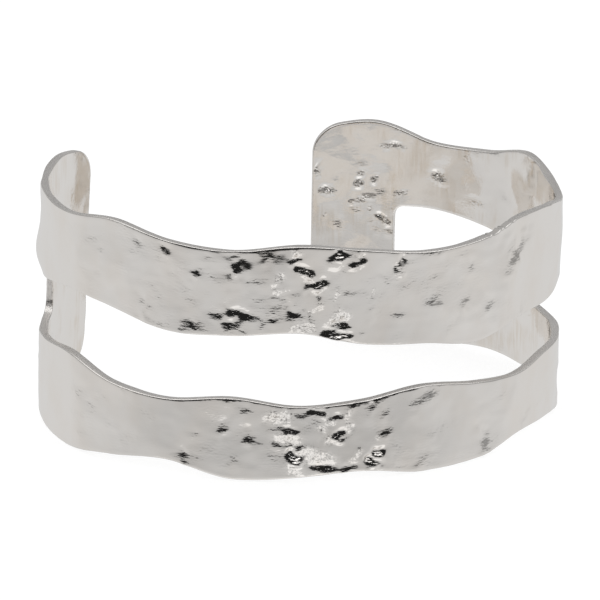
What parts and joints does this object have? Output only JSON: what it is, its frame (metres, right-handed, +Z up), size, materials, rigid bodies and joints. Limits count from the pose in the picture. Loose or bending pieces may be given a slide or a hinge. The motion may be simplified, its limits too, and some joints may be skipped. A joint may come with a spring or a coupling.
{
  "type": "open cuff bangle",
  "caption": "Open oval cuff bangle of hammered silver sheet, with wavy edges and one long wavy slot that divides the band into two bars.",
  "frame": {"origin": "under the middle of the cuff's outline seen from above, on the surface that it rests on", "axes": "+Z up along the wrist hollow, with the cuff on its side, the front of the band towards -Y and the gap between its ends towards +Y"},
  "size_m": [0.062, 0.0516, 0.0287],
  "materials": {
    "silver": "hammered and brightly polished silver"
  },
  "bodies": {
    "root": {"cuff": "silver"}
  },
  "joints": []
}
